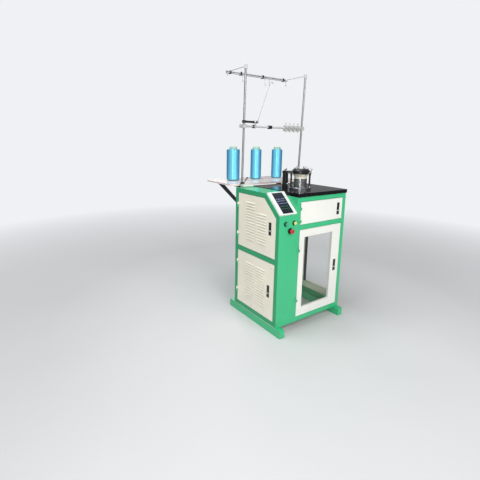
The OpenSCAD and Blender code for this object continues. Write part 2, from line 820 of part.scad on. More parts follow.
module needle_cylinder() {
    color([0.62, 0.63, 0.65]) at_head() difference() {
        union() {
            rotate_extrude($fn = 128)
                polygon([[fabric_r, gear_z], [journal_r, gear_z], [journal_r, sleeve_z],
                    [needle_r, sleeve_z],
                         [needle_r, cylinder_top], [fabric_r + 1, cylinder_top],
                             [fabric_r, cylinder_top - 1]]);
            translate([0, 0, gear_z]) linear_extrude(gear_h) difference() {
                rotate(gear_angle) gear(cylinder_teeth);
                circle(fabric_r + 1, $fn = 96);
            }
        }
        for (i = [0:needle_count - 1]) rotate([0, 0, i * 360 / needle_count])
            translate([trick_floor, -trick_w / 2, sleeve_z + 12])
                cube([8, trick_w, sleeve_h + sinker_h]);
    }
}

// One latch needle in its trick: shank, hook and open latch, seen from the side
module needle_profile() {
    back = trick_floor + 0.3;
    neck = cylinder_top + 4;
    translate([back, sleeve_z + 40]) square([1, neck - sleeve_z - 40 + slit]);
    difference() {
        translate([back + 1.7, neck]) circle(1.7, $fn = 24);
        translate([back + 1.7, neck]) circle(0.9, $fn = 24);
        translate([back - 1, neck - 4]) square([6, 4]);
    }
    translate([back + 2.6, neck - 1.6]) square([0.8, 1.6 + slit]);
    polygon([[back + 0.9, neck - 9], [back + 2.8, neck - 13], [back + 3, neck - 12],
        [back + 0.9, neck - 7.6]]);
}

module needles() {
    color([0.85, 0.86, 0.88]) at_head() for (i = [0:needle_count - 1])
        rotate([0, 0, i * 360 / needle_count]) translate([0, needle_t / 2, 0]) rotate([90, 0, 0])
            linear_extrude(needle_t) needle_profile();
}

module head_post() {
    h = feeder_z - sleeve_z;
    color([0.06, 0.06, 0.065]) {
        translate([post_at[0] - post_s / 2, post_at[1] - post_s / 2, table_z])
            linear_extrude(feeder_z - table_z) rounded(post_s, post_s, 5);
        translate([post_at[0], post_at[1] - post_s / 2 + slit, post_stud_z]) rotate([90, 0, 0])
            cylinder(r = 8, h = 3, $fn = 48);
        for (a = pillar_angles) at_head(sleeve_z) rotate([0, 0, a]) translate([pillar_out, 0, 0])
            rotate_extrude($fn = 48)
                polygon([[0, 0], [pillar_r + 3, 0], [pillar_r + 3, 4], [pillar_r, 4], [pillar_r, h - 14],
                    [pillar_r + 2, h - 12], [pillar_r + 2, h], [0, h]]);
    }
}

module feeder_plate() {
    inner = fabric_r + 4;
    arm_h = feeder_ring_h - 12;
    color([0.055, 0.055, 0.06]) difference() {
        union() {
            at_head(feeder_z) rotate_extrude($fn = 128)
                polygon([[inner, 0], [feeder_ring_r - 4, 0], [feeder_ring_r, 4],
                    [feeder_ring_r, feeder_ring_h - 8], [feeder_ring_r - 6, feeder_ring_h],
                    [inner + 6, feeder_ring_h], [inner, feeder_ring_h - 6]]);
            plate_xy(feeder_z, arm_h) {
                translate([post_at[0] - post_s / 2 - 2, post_at[1] - post_s / 2 - 2])
                    rounded(post_s + 4, post_s + 4, 6);
                polygon([post_at + [-4, post_s / 2], post_at - [0, post_s / 2], head + [-inner - 10, 4],
                    head + [-inner + 12, 44]]);
                for (a = pillar_angles) translate(head + pillar_out * [cos(a), sin(a)])
                    circle(pillar_r + 4, $fn = 48);
            }
        }
        at_head(feeder_z - 1) cylinder(r = inner, h = feeder_ring_h + 2, $fn = 96);
        for (a = lever_angles) at_head(feeder_z + 14) rotate([0, 0, a]) translate([feeder_ring_r - 4, 0, 0])
            rotate([0, 90, 0]) cylinder(r = 4 + run_clear, h = 8, $fn = 32);
    }
}

feeder_angles = [-72, -30, 12, 100, 190];
lever_angles = [-64, -10];

module yarn_feeders() {
    inner = fabric_r + 4;
    color([0.80, 0.81, 0.83]) {
        for (a = feeder_angles) at_head(feeder_top) rotate([0, 0, a]) {
            translate([inner - 9, -6, 0]) cube([27, 12, 7]);
            translate([inner + 12, 0, 7 - slit]) cylinder(r = 4, h = 5, $fn = 32);
            translate([inner - 4.5, 0, -feeder_ring_h - 4]) difference() {
                cylinder(r = 3.2, h = feeder_ring_h + 26, $fn = 32);
                translate([0, 0, -1]) cylinder(r = 1.6, h = feeder_ring_h + 28, $fn = 32);
            }
        }
        for (a = lever_angles) at_head(feeder_z + 14) rotate([0, 0, a])
            translate([feeder_ring_r - 4, 0, 0]) {
            rotate([0, 90, 0]) cylinder(r = 4, h = 9, $fn = 32);
            translate([8, 0, -10]) rotate([0, 28, 0]) cylinder(r = 4.2, h = 40, $fn = 32);
        }
        for (p = [[-12, -8, 9], [10, 6, 7]])
            translate([post_at[0] + p[0], post_at[1] + p[1], feeder_z + feeder_ring_h - 12])
            rotate_extrude($fn = 32)
                polygon([[0, 0], [4, 0], [4, 6], [p[2], 8], [p[2], 17], [p[2] - 1.5, 19], [0, 19]]);
        translate([post_at[0], post_at[1] - post_s / 2 - 3 + slit, post_stud_z]) rotate([90, 0, 0])
            cap_nut(7);
        for (a = pillar_angles) at_head(sleeve_z) rotate([0, 0, a - 15]) translate([pillar_out, 0, 0])
            cap_nut(6);
    }
}

module cap_nut(r) {
    rotate_extrude($fn = 32)
        polygon(concat([[0, 0], [r, 0], [r, 4]],
            [for (a = [0:22.5:90]) [(r - 1) * cos(a), 4 + (r - 1) * sin(a)]]));
}

// Drive

// Straight-sided gear outline with clearance at the flanks
module gear(n) {
    pitch = gear_module * n / 2;
    flank = gear_module * tan(20);
    play = 0.22;
    half = gear_module * PI / 4 - play;
    spec = [[pitch - 1.25 * gear_module, half + 1.25 * flank], [pitch, half],
        [pitch + 0.95 * gear_module, half - 0.95 * flank]];
    polygon([for (i = [0:n - 1]) for (s = [[0, -1], [1, -1], [2, -1], [2, 1], [1, 1], [0, 1]])
        let (r = spec[s[0]][0], a = i * 360 / n + s[1] * spec[s[0]][1] / r * 180 / PI) [r * cos(a),
            r * sin(a)]]);
}

module drive_shaft() {
    color([0.70, 0.71, 0.73]) translate([shaft_at[0], shaft_at[1], 0]) {
        translate([0, 0, deck_z + sheet + 3])
            cylinder(r = shaft_r, h = body_top - deck_z - sheet - 5, $fn = 48);
        translate([0, 0, gear_z]) linear_extrude(gear_h) rotate(gear_angle + 180 + 180 / pinion_teeth)
            gear(pinion_teeth);
        translate([0, 0, pulley_z]) pulley(pulley_r);
    }
}

module pulley(r) {
    lip = (pulley_h - belt_w) / 2 - 0.3;
    rotate_extrude($fn = 96)
        polygon([[0, 0], [r + 4, 0], [r + 4, lip - 1], [r, lip], [r, pulley_h - lip],
            [r + 4, pulley_h - lip + 1],
                 [r + 4, pulley_h], [0, pulley_h]]);
}

module motor_pulley() {
    z0 = deck_z + sheet + motor_h - 8;
    color([0.70, 0.71, 0.73]) translate([motor_at[0], motor_at[1], 0]) {
        translate([0, 0, z0]) cylinder(r = shaft_r, h = pulley_z + pulley_h - z0, $fn = 48);
        translate([0, 0, pulley_z]) pulley(motor_pulley_r);
    }
}

// Outline of a belt run round both pulleys, grown by g
module belt_loop(g) {
    a = pulley_r + g;
    b = motor_pulley_r + g;
    v = motor_at - shaft_at;
    d = norm(v);
    turn = atan2(v[1], v[0]);
    wrap = acos((a - b) / d);
    translate(shaft_at) rotate(turn) {
        circle(a, $fn = 96);
        translate([d, 0]) circle(b, $fn = 96);
        polygon([a * [cos(wrap), sin(wrap)], [d, 0] + b * [cos(wrap), sin(wrap)],
                 [d, 0] + b * [cos(wrap), -sin(wrap)], a * [cos(wrap), -sin(wrap)]]);
    }
}

module drive_belt() {
    color([0.08, 0.08, 0.085]) plate_xy(pulley_z + (pulley_h - belt_w) / 2, belt_w) difference() {
        belt_loop(belt_gap + belt_t);
        belt_loop(belt_gap);
    }
}

module motor() {
    z = deck_z + sheet;
    color([0.32, 0.36, 0.40]) translate([motor_at[0], motor_at[1], z]) difference() {
        union() {
            translate([-motor_r - 6, -motor_r - 6, 0]) linear_extrude(8)
                rounded(2 * motor_r + 12, 2 * motor_r + 12, 8);
            cylinder(r = motor_r - 4, h = motor_h, $fn = 96);
            for (a = [0:15:345]) rotate([0, 0, a]) translate([motor_r - 6, -1.5, 8 - slit])
                cube([6, 3, motor_h - 20]);
            translate([-motor_r - 20, -25, 30]) cube([30, 50, 50]);
        }
        translate([0, 0, motor_h - 14]) cylinder(r = shaft_r + run_clear, h = 20, $fn = 48);
    }
}

module shaft_bearings() {
    z = deck_z + sheet;
    translate([shaft_at[0], shaft_at[1], 0]) difference() {
        union() {
            translate([-30, -30, z]) linear_extrude(6) rounded(60, 60, 8);
            translate([0, 0, z]) cylinder(r = shaft_r + 12, h = 26, $fn = 64);
            translate([0, 0, spigot_low + 1])
                cylinder(r = shaft_r + 17, h = body_top - spigot_low - 1, $fn = 64);
        }
        translate([0, 0, z + 2]) cylinder(r = shaft_r + run_clear, h = body_top - z - 3, $fn = 48);
    }
}

module takedown_frame() {
    z = deck_z + sheet;
    top = roller_z + 24;
    difference() {
        union() {
            for (s = [-1, 1]) translate([head_x + s * (roller_l / 2 + 2 + side_plate_t / 2)
                    - side_plate_t / 2, head_y, 0]) {
                plate_yz(0, side_plate_t)
                    polygon([[-46, z], [46, z], [46, z + 30], [34, top], [-34, top], [-46, z + 30]]);
                translate([s > 0 ? 0 : -18, -46, z]) cube([18 + side_plate_t, 92, 5]);
            }
            translate([head_x + roller_l / 2 + 2 + side_plate_t - slit, head_y - 42, z + 28])
                cube([32, 84, 56]);
            for (s = [-1, 1]) translate([head_x - roller_l / 2 - 3, head_y + s * 40, z + 14])
                rotate([0, 90, 0])
                cylinder(r = 4, h = roller_l + 6, $fn = 32);
        }
        for (s = [-1, 1]) translate([head_x - roller_l / 2 - 20,
            head_y + s * (roller_r + roller_gap / 2), roller_z])
            rotate([0, 90, 0]) cylinder(r = roller_pin_r + run_clear, h = roller_l + 36, $fn = 48);
    }
}

module bearing_frames() {
    color([0.45, 0.47, 0.50]) {
        takedown_frame();
        shaft_bearings();
    }
}

module takedown_roller(s) {
    color([0.12, 0.12, 0.13]) translate([head_x, head_y + s * (roller_r + roller_gap / 2), roller_z])
        rotate([0, 90, 0]) {
            translate([0, 0, -roller_l / 2]) cylinder(r = roller_r, h = roller_l, $fn = 96);
            translate([0, 0, -roller_l / 2 - 2 - side_plate_t + 0.5])
                cylinder(r = roller_pin_r, h = roller_l + 4 + 2 * side_plate_t - 1, $fn = 48);
        }
}

module takedown_roller_front() { takedown_roller(-1); }

module takedown_roller_back() { takedown_roller(1); }

// Yarn stand

module stand_poles() {
    color([0.88, 0.89, 0.90]) for (i = [0, 1]) {
        base = pole_base[i];
        x = pole_at(i, base);
        difference() {
            on_pole(i, base) translate([0, 0, -8])
                cylinder(r = pole_r, h = (pole_top - base) / cos(pole_lean[i]) + 8, $fn = 48);
            block([x - 30, pole_y - 30, base - 30], [x + 30, pole_y + 30, base]);
        }
        translate([x, pole_y, base]) rotate_extrude($fn = 48)
            polygon([[0, 0], [17, 0], [17, 3], [12, 5], [0, 5]]);
    }
}

module pole_caps() {
    color([0.95, 0.95, 0.94]) for (i = [0, 1]) {
        on_pole(i, pole_top) translate([0, 0, 4 - cap_h]) difference() {
            rotate_extrude($fn = 48) polygon(concat([[0, 0], [cap_r, 0]],
                [for (a = [0:22.5:90]) [cap_r - 5 + 5 * cos(a), cap_h - 5 + 5 * sin(a)]],
                    [[0, cap_h]]));
            translate([0, 0, -1]) cylinder(r = pole_r + run_clear, h = cap_h - 3, $fn = 48);
        }
        on_pole(i, board_z - board_t - 2) difference() {
            cylinder(r = pole_r + 4, h = 13, $fn = 48);
            translate([0, 0, -1]) cylinder(r = pole_r + run_clear, h = 20, $fn = 48);
        }
    }
}

module guide_bar() {
    wall = 2;
    color([0.80, 0.81, 0.83]) {
        difference() {
            block([pole_x[0] - 22, bar_y - bar_s / 2, bar_z - bar_s / 2],
                [pole_x[1] + 3, bar_y + bar_s / 2, bar_z + bar_s / 2]);
            block([pole_x[0] - 23, bar_y - bar_s / 2 + wall, bar_z - bar_s / 2 + wall],
                  [pole_x[1] + 4, bar_y + bar_s / 2 - wall, bar_z + bar_s / 2 - wall]);
            block([pole_x[0] - 23, bar_y - bar_s / 2 - 1, bar_z - 2.5],
                [pole_x[1] + 4, bar_y, bar_z + 2.5]);
        }
        for (x = [pole_x[0], pole_x[1] - 4]) translate([x, pole_y + cap_r + 0.2, bar_z + 5.7])
            rotate([-90, 0, 0])
            cylinder(r = 3.1, h = bar_back - bar_s / 2 - cap_r - 0.2 + slit, $fn = 32);
    }
}

hook_x = [pole_x[0] - 15, pole_x[0] + 137, pole_x[0] + 372, pole_x[1] - 12];
hook_drop = [18, 46, 50, 34];

module guide_hooks() {
    r = 1.8;
    color([0.86, 0.87, 0.88]) for (i = [0:3]) translate([hook_x[i], bar_y, bar_z - bar_s / 2 - 0.1]) {
        translate([-4, -6, -5]) cube([8, 12, 5]);
        translate([0, 0, -hook_drop[i]]) cylinder(r = r, h = hook_drop[i] - 4, $fn = 24);
        translate([0, -6, -hook_drop[i]]) rotate([0, 90, 0]) rotate_extrude($fn = 48)
            translate([6, 0]) circle(r + 0.3, $fn = 24);
    }
}

module cross_bar() {
    c = [34, pole_r * 2 + cross_r * 2 + 22, 26];
    ends = [pole_at(0, cross_z), pole_at(1, cross_z)];
    color([0.84, 0.85, 0.86]) difference() {
        union() {
            translate([ends[0] - 14, cross_y, cross_z]) rotate([0, 90, 0])
                cylinder(r = cross_r, h = ends[1] - ends[0] + 28, $fn = 48);
            for (x = ends) translate([x - c[0] / 2, pole_y - pole_r - 9, cross_z - c[2] / 2]) cube(c);
        }
        for (i = [0, 1]) on_pole(i, cross_z) translate([0, 0, -20])
            cylinder(r = pole_r + run_clear, h = 40, $fn = 48);
    }
}

slider_x = [pole_x[0] + 12, pole_x[0] + 117, pole_x[0] + 343, pole_x[1] - 44];

module bar_clamps() {
    g = 0.1;
    color([0.07, 0.07, 0.075]) {
        for (i = [0, 1]) on_pole(i, board_z + 3) difference() {
            union() {
                cylinder(r = pole_r + 6, h = 12, $fn = 48);
                translate([pole_r, -5, 0]) cube([14, 10, 12]);
                translate([pole_r + 10, 0, 6]) rotate([0, 32, -36]) {
                    cylinder(r = 2.5, h = 54, $fn = 24);
                    translate([0, 0, 26]) cylinder(r = 4.2, h = 28, $fn = 32);
                }
            }
            translate([0, 0, -1]) cylinder(r = pole_r + run_clear, h = 20, $fn = 48);
        }
        for (x = slider_x) difference() {
            block([x - 6, bar_y - bar_s / 2 - 4, bar_z - bar_s / 2 - 4],
                [x + 6, bar_y + bar_s / 2 + 4, bar_z + bar_s / 2 + 4]);
            block([x - 7, bar_y - bar_s / 2 - g, bar_z - bar_s / 2 - g],
                [x + 7, bar_y + bar_s / 2 + g, bar_z + bar_s / 2 + g]);
        }
        difference() {
            union() {
                on_pole(0, bracket_z) translate([0, 0, -10])
                    cylinder(r = pole_r + 7, h = 20, $fn = 48);
                block([pole_at(0, bracket_z), pole_y - 6, bracket_z - 8],
                    [pivot_x - 14, pole_y + 6, bracket_z + 8]);
                block([pivot_x - 22, pole_y - 6, bracket_z - 10],
                    [pivot_x + 10, pole_y + 6, bracket_z + 10]);
            }
            on_pole(0, bracket_z) translate([0, 0, -20])
                cylinder(r = pole_r + run_clear, h = 40, $fn = 48);
            translate([pivot_x, pole_y - 20, bracket_z]) rotate([-90, 0, 0])
                cylinder(r = 3 + run_clear, h = 40, $fn = 32);
        }
        translate([pole_x[0] + 88, cross_y, cross_z]) rotate([0, 90, 0]) difference() {
            union() {
                cylinder(r = cross_r + 5, h = 9, $fn = 48);
                translate([0, -cross_r - 18, 4.5]) rotate_extrude(angle = 250, $fn = 48)
                    translate([13, 0]) circle(2.5, $fn = 24);
            }
            translate([0, 0, -1]) cylinder(r = cross_r + run_clear, h = 12, $fn = 48);
        }
        translate([pole_x[0] + 245, cross_y, cross_z]) rotate([0, 90, 0]) difference() {
            cylinder(r = cross_r + 6, h = 34, $fn = 48);
            translate([0, 0, -1]) cylinder(r = cross_r + run_clear, h = 40, $fn = 48);
        }
    }
}

module tension_unit() {
    difference() {
        union() {
            translate([-14, -22, -24]) cube([28, 34, 44]);
            translate([0, -8, 20 - slit]) cylinder(r = 2.5, h = 14, $fn = 24);
            translate([0, -8, 38]) sphere(r = 6.5, $fn = 32);
            translate([0, -22 + slit, 4]) rotate([90, 0, 0]) rotate_extrude($fn = 48)
                polygon([[0, 0], [3, 0], [3, 4], [11, 6], [11, 7.2], [4, 8], [4, 9], [11, 9.8],
                    [11, 11], [3, 13], [3, 17], [0, 17]]);
            translate([0, -12, -30]) rotate_extrude($fn = 32) translate([6, 0]) circle(2.2, $fn = 24);
            translate([-2, -8, -30]) cube([4, 6, 7]);
        }
        translate([-15, 0, 0]) rotate([0, 90, 0]) cylinder(r = cross_r + run_clear, h = 30, $fn = 48);
    }
}

module tension_units() {
    color([0.87, 0.87, 0.85]) for (i = [0:unit_count - 1])
        translate([unit_x + i * unit_pitch, cross_y, cross_z]) tension_unit();
}

// A bent wire through the given points, as straight rods with ball corners
module wire_run(points, r) {
    for (i = [0:len(points) - 2]) {
        a = points[i];
        v = points[i + 1] - a;
        translate(a) rotate([0, atan2(norm([v[0], v[1]]), v[2]), atan2(v[1], v[0])])
            cylinder(r = r, h = norm(v), $fn = 24);
        translate(points[i + 1]) sphere(r = r * 1.15, $fn = 24);
    }
}

module tension_wire() {
    d = [sin(wire_lean), 0, cos(wire_lean)];
    tip = wire_l * d;
    color([0.80, 0.80, 0.76]) translate([pivot_x, pivot_y, bracket_z]) {
        rotate([-90, 0, 0]) cylinder(r = 3, h = pole_y + 9 - pivot_y, $fn = 32);
        rotate([90, 0, 0]) cylinder(r = 8, h = 8, $fn = 48);
        translate([0, -4, 0]) wire_run([[0, 0, 0], tip, tip + [-4, 0, 40], tip + [-6, 0, 56]], wire_r);
        translate([0, -4, 0])
            wire_run([tip, tip + [18, 0, 28], tip + [32, 0, 26], tip + [40, 0, 18]], wire_r);
    }
}

// Creel

module creel_board() {
    color([0.90, 0.87, 0.86]) plate_xy(board_z - board_t, board_t)
        translate([-board_left, board_y]) rounded(board_left + board_right, board_d, board_corner);
}

module creel_brackets() {
    top = board_z - board_t;
    leg = 170;
    reach = board_d - 40;
    color([0.08, 0.085, 0.09]) for (x = stay_x) {
        plate_yz(x - 2, 4) difference() {
            polygon([[body_d, top], [body_d + reach, top], [body_d + reach, top - 14],
                [body_d + 24, top - leg], [body_d, top - leg]]);
            polygon([[body_d + 22, top - 18], [body_d + reach - 110, top - 18],
                [body_d + 22, top - leg + 34]]);
        }
        block([x - bracket_w / 2, body_d, top - 4], [x + bracket_w / 2, body_d + reach, top]);
        block([x - bracket_w / 2, body_d, top - leg], [x + bracket_w / 2, body_d + 4, top]);
    }
}

function package_at(i) = [package_x + i * package_pitch, package_y, board_z];

module bobbin_cores() {
    color([0.82, 0.88, 0.82]) for (i = [0:2]) translate(package_at(i)) rotate_extrude($fn = 64)
        polygon([[core_r - 4, 0], [core_r, 0], [core_r, package_h + 8], [core_r - 5, package_h + 22],
                 [core_r - 8, package_h + 22], [core_r - 4, package_h + 7]]);
}

module yarn_packages() {
    color([0.18, 0.60, 0.86]) for (i = [0:2]) translate(package_at(i)) rotate_extrude($fn = 96)
        polygon(concat([[core_r + wind_clear, 6]],
            [for (a = [-90:30:0]) [package_r[i] - 7 + 7 * cos(a), 13 + 7 * sin(a)]],
            [for (a = [0:30:90]) [package_r[i] - 5 + 5 * cos(a), package_h - 5 + 5 * sin(a)]],
            [[core_r + wind_clear, package_h]]));
}

in_frame() base_rails();
in_frame() front_frame();
in_frame() left_frame();
in_frame() right_frame();
in_frame() back_panel();
in_frame() column_cover();
in_frame() inner_plates();
in_frame() table_top();
in_frame() hmi_bezel();
in_frame() hmi_screen();
in_frame() button_collars();
in_frame() hinge_pins();
in_frame() control_gear();
in_frame() motor();
in_frame() drive_belt();
in_frame() bearing_frames();
in_frame() head_flange();
in_frame() cam_sleeve();
in_frame() sinker_ring();
in_frame() head_post();
in_frame() feeder_plate();
in_frame() yarn_feeders();
in_frame() stand_poles();
in_frame() pole_caps();
in_frame() guide_bar();
in_frame() guide_hooks();
in_frame() cross_bar();
in_frame() bar_clamps();
in_frame() tension_units();
in_frame() creel_board();
in_frame() creel_brackets();
in_frame() bobbin_cores();
in_frame() yarn_packages();
in_frame() door_left_upper();
in_frame() door_left_lower();
in_frame() door_front_upper();
in_frame() door_front_lower();
in_frame() door_right();
in_frame() pane_front();
in_frame() pane_right();
in_frame() lever_left_upper();
in_frame() lever_left_lower();
in_frame() lever_front_upper();
in_frame() lever_front_lower();
in_frame() lever_right();
in_frame() push_left_upper();
in_frame() push_left_lower();
in_frame() push_front_upper();
in_frame() push_front_lower();
in_frame() push_right();
in_frame() start_button();
in_frame() stop_button();
in_frame() estop_button();
in_frame() needle_cylinder();
in_frame() needles();
in_frame() drive_shaft();
in_frame() motor_pulley();
in_frame() takedown_roller_front();
in_frame() takedown_roller_back();
in_frame() tension_wire();
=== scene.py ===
import math
from collections import namedtuple

import bmesh
import bpy
from mathutils import Matrix, Vector


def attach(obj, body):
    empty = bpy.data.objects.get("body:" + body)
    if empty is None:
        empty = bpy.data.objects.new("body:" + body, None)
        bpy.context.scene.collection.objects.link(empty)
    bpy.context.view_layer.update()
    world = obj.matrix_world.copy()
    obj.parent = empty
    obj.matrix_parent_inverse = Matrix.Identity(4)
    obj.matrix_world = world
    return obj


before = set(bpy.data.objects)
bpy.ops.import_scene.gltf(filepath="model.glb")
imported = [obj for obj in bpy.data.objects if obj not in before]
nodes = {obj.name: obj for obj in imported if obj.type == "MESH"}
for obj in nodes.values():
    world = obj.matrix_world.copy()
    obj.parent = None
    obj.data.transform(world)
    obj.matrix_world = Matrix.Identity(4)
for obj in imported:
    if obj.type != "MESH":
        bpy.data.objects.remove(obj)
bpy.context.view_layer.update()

# The machine's own corner (left side, front face, floor) in the part's frame, in metres.
# Small pieces are placed in millimetres from it.
CORNER = Vector((-0.32125, -0.441, 0.0))
MM_PER_M = 1000

# The cabinet's right side, its back panel's outer face and the knitting head's centre
CABINET_W, BACK_FACE = 680, 528
HEAD_X, HEAD_Y = 367, 191


def at(x, y, z):
    """A point given in millimetres from the machine's corner."""
    return CORNER + Vector((x, y, z)) / MM_PER_M


# Materials

# Samples of a rounded edge, and radii in metres to which edges are rounded or worn
EDGE_SAMPLES = 4
FINE_EDGE = 0.0006
IRON_EDGE, IRON_WORN = 0.0008, 0.001
PAINT_EDGE = 0.0012
BOARD_EDGE = 0.0015
TOP_EDGE, TOP_WORN = 0.002, 0.0015

# Heights in metres between which the grime fades, the painted shade at the yarn's foot fades and the screen
# brightens
GRIME_FULL, GRIME_NONE = 0.05, 0.28
FOOT_SHADE_FULL, FOOT_SHADE_NONE = 1.062, 1.078
SCREEN_DARK, SCREEN_BRIGHT = 0.89, 1.03


def linear(r, g, b):
    """A display colour of 0 to 255 as linear light, with full opacity."""
    def one(c):
        c = c / 255
        return c / 12.92 if c <= 0.04045 else ((c + 0.055) / 1.055) ** 2.4
    return (one(r), one(g), one(b), 1.0)


def shade(colour, factor):
    """The colour made darker or, with a factor above 1, lighter."""
    return tuple(c * factor for c in colour[:3]) + (1.0,)


class Tree:
    """A material with its principled shader and short calls for the nodes used here."""

    def __init__(self, name):
        self.mat = bpy.data.materials.new(name)
        self.mat.use_nodes = True
        self.tree = self.mat.node_tree
        self.shader = self.tree.nodes["Principled BSDF"]
        self.coords = self.node("ShaderNodeTexCoord").outputs["Object"]

    def node(self, kind, **inputs):
        n = self.tree.nodes.new(kind)
        for key, value in inputs.items():
            self.put(n, key, value)
        return n

    def put(self, n, key, value):
        """Fill an input by its name, with _ for a space, or by its place as i0, i1 and so on."""
        by_place = key[0] == "i" and key[1:].isdigit()
        self.fill(n.inputs[int(key[1:]) if by_place else key.replace("_", " ")], value)

    def fill(self, socket, value):
        if isinstance(value, bpy.types.NodeSocket):
            self.tree.links.new(value, socket)
        else:
            socket.default_value = value

    def set(self, **inputs):
        for key, value in inputs.items():
            self.put(self.shader, key, value)

    def height(self):
        return self.node("ShaderNodeSeparateXYZ", Vector=self.coords).outputs["Z"]

    def noise(self, scale, detail=3.0, stretch=(1, 1, 1)):
        m = self.node("ShaderNodeMapping", Vector=self.coords, Scale=stretch)
        n = self.node("ShaderNodeTexNoise", Vector=m.outputs["Vector"], Scale=scale, Detail=detail)
        return n.outputs["Fac"]

    def span(self, value, low, high, start=0.0, end=1.0):
        """The value's stretch from start to end, laid out from low to high."""
        n = self.node("ShaderNodeMapRange", i0=value, i1=start, i2=end, i3=low, i4=high)
        return n.outputs["Result"]

    def cloud(self, scale, detail, low, high, start=0.3, end=0.7):
        """Noise laid out from low to high."""
        return self.span(self.noise(scale, detail), low, high, start, end)

    def math(self, how, a, b):
        n = self.node("ShaderNodeMath", i0=a, i1=b)
        n.operation = how
        return n.outputs["Value"]

    def mix(self, factor, a, b):
        """Colour a where the factor is 0, colour b where it is 1."""
        n = self.tree.nodes.new("ShaderNodeMix")
        n.data_type = "RGBA"
        for name, value in (("Factor", factor), ("A", a), ("B", b)):
            single = name == "Factor"
            fitting = [s for s in n.inputs
                       if s.name == name and s.enabled and (s.type == "VALUE") == single]
            self.fill(fitting[0], value)
        return [s for s in n.outputs if s.type == "RGBA"][0]

    def soft_edges(self, radius):
        n = self.node("ShaderNodeBevel", Radius=radius)
        n.samples = EDGE_SAMPLES
        return n.outputs["Normal"]

    def edge_mask(self, radius, strength):
        """Ragged, up to the strength on worn outer edges and 0 on flats."""
        geometry = self.node("ShaderNodeNewGeometry")
        dot = self.node("ShaderNodeVectorMath", i0=self.soft_edges(radius), i1=geometry.outputs["Normal"])
        dot.operation = "DOT_PRODUCT"
        raw = self.span(dot.outputs["Value"], 1.0, 0.0, 0.75, 0.98)
        ragged = self.math("MULTIPLY", raw, self.cloud(60, 3.0, 0.0, 1.6, 0.45, 0.62))
        return self.math("MULTIPLY", ragged, strength)

    def bump(self, height, strength, distance, normal=None):
        n = self.node("ShaderNodeBump", Height=height, Strength=strength, Distance=distance)
        if normal is not None:
            self.put(n, "Normal", normal)
        self.put(self.shader, "Normal", n.outputs["Normal"])


def painted(name, colour, rough, peel=0.12, wear=0.35, worn=(120, 122, 120), coat=0.25, haze=0.18):
    """Powder-coated sheet: orange peel, handling marks, low grime and slightly worn edges."""
    t = Tree(name)
    base = linear(*colour)
    tone = t.mix(t.cloud(3.0, 5.0, 0.0, 0.5, 0.35, 0.7), base, shade(base, 0.86))
    low = t.span(t.height(), 0.5, 0.0, GRIME_FULL, GRIME_NONE)
    grime = t.math("MULTIPLY", low, t.cloud(14, 6.0, 0.0, 0.6, 0.45, 0.75))
    tone = t.mix(grime, tone, shade(base, 0.62))
    tone = t.mix(t.edge_mask(PAINT_EDGE, wear), tone, linear(*worn))
    t.set(Base_Color=tone, Roughness=t.cloud(9.0, 5.0, rough - 0.06, rough + 0.10),
          Coat_Weight=coat, Coat_Roughness=haze)
    t.bump(t.noise(420, 2.0), peel, 0.0004, t.soft_edges(PAINT_EDGE))
    return t.mat


def plastic(name, colour, rough, grain, coat=0.0):
    """Moulded plastic with a faint mottle and grain."""
    t = Tree(name)
    base = linear(*colour)
    tone = t.mix(t.cloud(25, 4.0, 0.0, 0.35, 0.4, 0.7), base, shade(base, 0.8))
    t.set(Base_Color=tone, Roughness=t.cloud(40, 4.0, rough - 0.05, rough + 0.08), Coat_Weight=coat)
    t.bump(t.noise(900, 2.0), grain, 0.0002, t.soft_edges(FINE_EDGE))
    return t.mat


def metal(name, colour, rough, along=1, scale=300, depth=0.10, stain=0.3, share=1.0):
    """Machined or drawn metal: fine marks, handling stains and softened edges."""
    t = Tree(name)
    base = linear(*colour)
    tone = t.mix(t.cloud(22, 6.0, 0.0, stain, 0.45, 0.75), base, shade(base, 0.6))
    marks = t.noise(scale, 3.0, (1, 1, along))
    mottle = t.cloud(35, 5.0, rough - 0.07, rough + 0.1)
    t.set(Base_Color=tone, Metallic=share, Roughness=t.math("ADD", mottle, t.span(marks, -0.04, 0.04)))
    t.bump(marks, depth, 0.0002, t.soft_edges(FINE_EDGE))
    return t.mat


def cast(name, colour, rough, grain):
    """Black-finished iron with a fine grain and slightly polished edges."""
    t = Tree(name)
    base = linear(*colour)
    tone = t.mix(t.edge_mask(IRON_WORN, 0.5), base, linear(105, 106, 108))
    tone = t.mix(t.cloud(18, 5.0, 0.0, 0.4, 0.45, 0.7), tone, shade(base, 1.7))
    t.set(Base_Color=tone, Roughness=t.cloud(50, 5.0, rough - 0.1, rough + 0.1))
    t.bump(t.noise(520, 4.0), grain, 0.0003, t.soft_edges(IRON_EDGE))
    return t.mat


